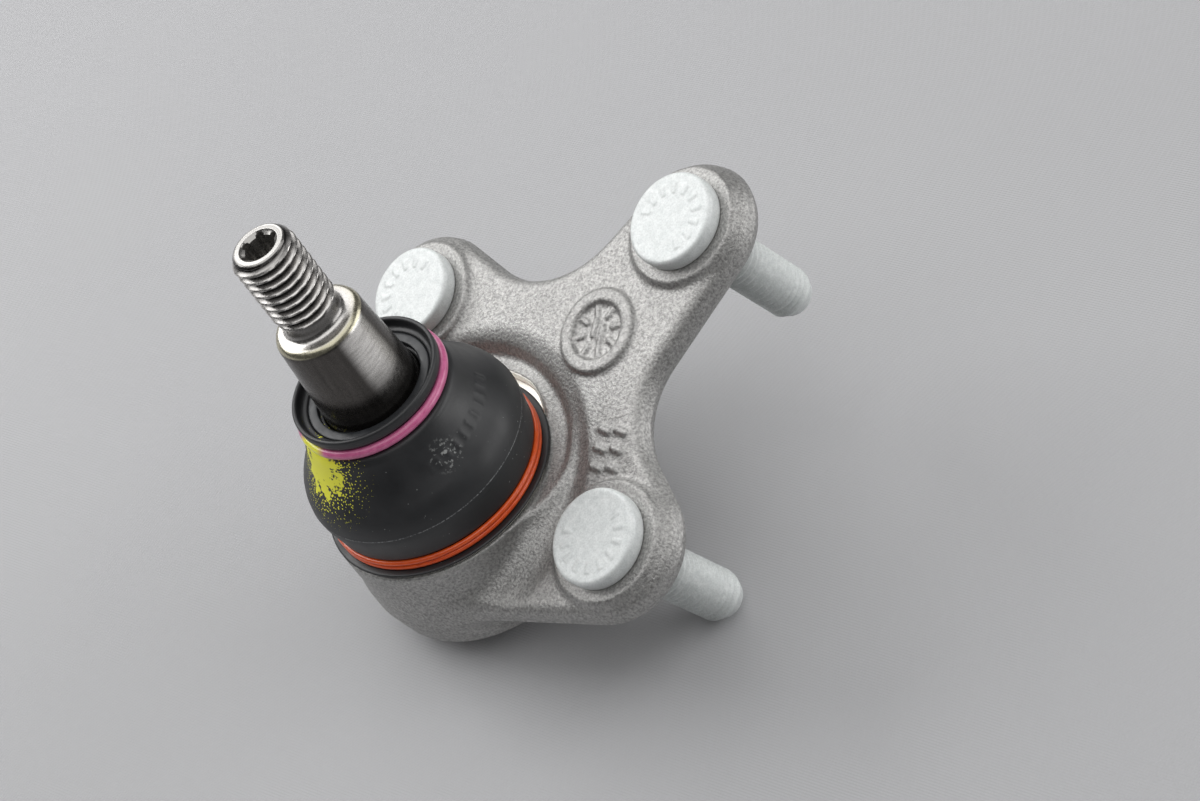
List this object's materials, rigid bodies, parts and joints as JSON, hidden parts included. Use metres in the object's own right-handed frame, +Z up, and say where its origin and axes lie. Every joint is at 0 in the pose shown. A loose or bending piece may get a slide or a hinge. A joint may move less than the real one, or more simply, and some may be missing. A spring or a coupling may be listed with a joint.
{
  "type": "suspension ball joint",
  "caption": "Suspension ball joint: forged three-eared housing with pressed-in bolts, leaning socket, rubber boot with wire rings and a tapered, threaded ball stud.",
  "frame": {"origin": "middle of the bounding box's base, on the surface that the part rests on: the points of two bolts and the edge of the socket's rim", "axes": "+Z up, +X from the socket towards the side of the rear and front bolts, +Y away from the viewer of the reference view"},
  "size_m": [0.0992, 0.098, 0.0926],
  "materials": {
    "forged_steel": "shot-blasted forged steel, dull grey",
    "stud_steel": "turned and tempered steel with bare machined edges",
    "bearing_plastic": "natural acetal",
    "cover_steel": "pressed steel sheet",
    "boot_rubber": "moulded black rubber",
    "mouth_ring_plastic": "moulded dark plastic",
    "upper_ring_lacquer": "pink lacquered wire",
    "lower_ring_lacquer": "orange lacquered wire",
    "zinc_flake": "light grey zinc-flake coating"
  },
  "bodies": {
    "socket_housing": {"housing": "forged_steel", "closing_cover": "cover_steel", "lower_clamp_ring": "lower_ring_lacquer", "bolt_rear": "zinc_flake", "bolt_front": "zinc_flake", "bolt_left": "zinc_flake"},
    "bearing_carrier": {"upper_bearing_shell": "bearing_plastic", "lower_bearing_shell": "bearing_plastic", "dust_boot": "boot_rubber"},
    "boot_collar": {"boot_mouth_ring": "mouth_ring_plastic", "upper_clamp_ring": "upper_ring_lacquer"},
    "stud": {"ball_stud": "stud_steel"}
  },
  "joints": [
    {"name": "swing_direction", "type": "hinge", "parent": "socket_housing", "child": "bearing_carrier", "pos_m": [-0.02515, -0.00424, 0.01963], "axis": [-0.1689, 0.0995, 0.9806], "continuous": true},
    {"name": "stud_tilt", "type": "hinge", "parent": "bearing_carrier", "child": "boot_collar", "pos_m": [-0.02515, -0.00424, 0.01963], "axis": [0.5379, -0.8244, 0.1762], "range_deg": [-25, 25], "deforming": ["dust_boot"]},
    {"name": "stud_spin", "type": "hinge", "parent": "boot_collar", "child": "stud", "pos_m": [-0.02515, -0.00424, 0.01963], "axis": [-0.1689, 0.0995, 0.9806], "continuous": true}
  ]
}
